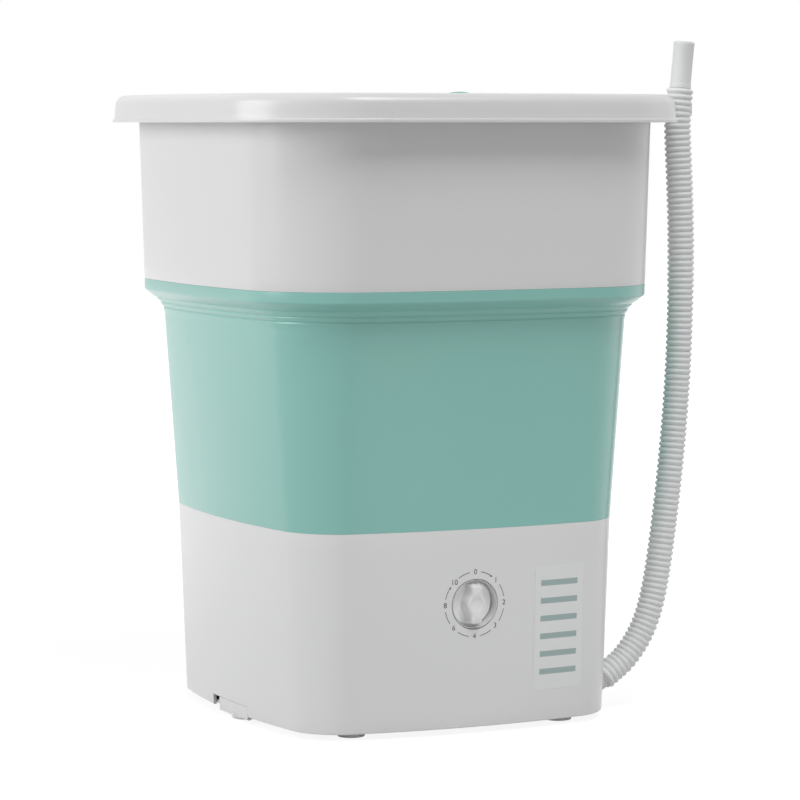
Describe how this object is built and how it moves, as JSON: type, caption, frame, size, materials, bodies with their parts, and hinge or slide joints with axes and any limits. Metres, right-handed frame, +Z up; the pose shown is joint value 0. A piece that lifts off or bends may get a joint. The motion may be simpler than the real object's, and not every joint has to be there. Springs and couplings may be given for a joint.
{
  "type": "folding washing machine",
  "caption": "Portable washing machine with a collapsible soft wall between a motor base and a rimmed upper hoop, hinged lid, rotary timer knob and ribbed drain hose.",
  "frame": {"origin": "on the floor, under the tub's vertical axis", "axes": "+Z up, -Y is the front with the timer knob, +X is the side with the drain hose"},
  "size_m": [0.4154, 0.4046, 0.5254],
  "materials": {
    "white_gloss": "glossy white moulded plastic",
    "white_matt": "matt white moulded plastic",
    "teal_soft": "satin teal thermoplastic rubber",
    "teal_gloss": "glossy teal moulded plastic",
    "hose_white": "white corrugated plastic",
    "black_rubber": "black rubber",
    "foot_grey": "pale grey rubber",
    "steel": "plain steel",
    "motor_grey": "dark grey painted steel",
    "inner_grey": "grey moulded plastic"
  },
  "bodies": {
    "base": {"base_shell": "white_gloss", "side_cover": "white_gloss", "bottom_cover": "white_matt", "tub_pan": "white_gloss", "bellows": "teal_soft", "bearing_housing": "inner_grey", "shaft_seal": "black_rubber", "drive_plate": "steel", "drive_belt": "black_rubber", "motor": "motor_grey", "capacitor": "white_matt", "capacitor_cup": "inner_grey", "dial_cup": "white_gloss", "timer": "inner_grey", "drain_strainer": "white_matt", "drain_pipe": "inner_grey", "drain_spout": "white_matt", "drain_hose": "hose_white", "hose_cuff": "hose_white", "foot_1": "foot_grey", "bottom_screw_1": "steel", "plate_screw_1": "steel", "motor_bolt_1": "steel", "foot_2": "foot_grey", "bottom_screw_2": "steel", "plate_screw_2": "steel", "motor_bolt_2": "steel", "foot_3": "foot_grey", "bottom_screw_3": "steel", "plate_screw_3": "steel", "motor_bolt_3": "steel", "foot_4": "foot_grey", "bottom_screw_4": "steel", "plate_screw_4": "steel", "motor_bolt_4": "steel"},
    "hoop": {"hoop": "white_gloss", "clamp_ring": "white_matt", "rim": "white_gloss", "hinge_strip": "white_gloss", "hinge_pin_1": "steel", "hinge_pin_2": "steel", "hose_clip": "white_matt"},
    "lid": {"lid": "white_gloss", "lid_pull": "teal_gloss"},
    "pulsator": {"pulsator": "teal_gloss", "pulsator_screw": "steel", "pulsator_shaft": "steel", "driven_pulley": "inner_grey", "pulley_nut": "steel"},
    "motor_rotor": {"motor_shaft": "steel", "motor_pulley": "inner_grey"},
    "knob": {"timer_knob": "white_gloss", "timer_shaft": "steel"}
  },
  "joints": [
    {"name": "tub_fold", "type": "slide", "parent": "base", "child": "hoop", "axis": [0, 0, -1], "range_m": [0, 0.2], "deforming": ["bellows"]},
    {"name": "lid_hinge", "type": "hinge", "parent": "hoop", "child": "lid", "pos_m": [0, 0.15716, 0.4776], "axis": [-1, 0, 0], "range_deg": [0, 105]},
    {"name": "pulsator_spin", "type": "hinge", "parent": "base", "child": "pulsator", "pos_m": [0, 0, 0.1243], "axis": [0, 0, 1], "continuous": true},
    {"name": "motor_spin", "type": "hinge", "parent": "base", "child": "motor_rotor", "pos_m": [0, 0.078, 0.022], "axis": [0, 0, 1], "continuous": true},
    {"name": "timer_turn", "type": "hinge", "parent": "base", "child": "knob", "pos_m": [0, -0.15162, 0.099], "axis": [0, 0.9993, 0.0362], "range_deg": [0, 315]}
  ],
  "couplings": [
    {"joint": "motor_spin", "follows": "pulsator_spin", "ratio": 4.2728}
  ]
}
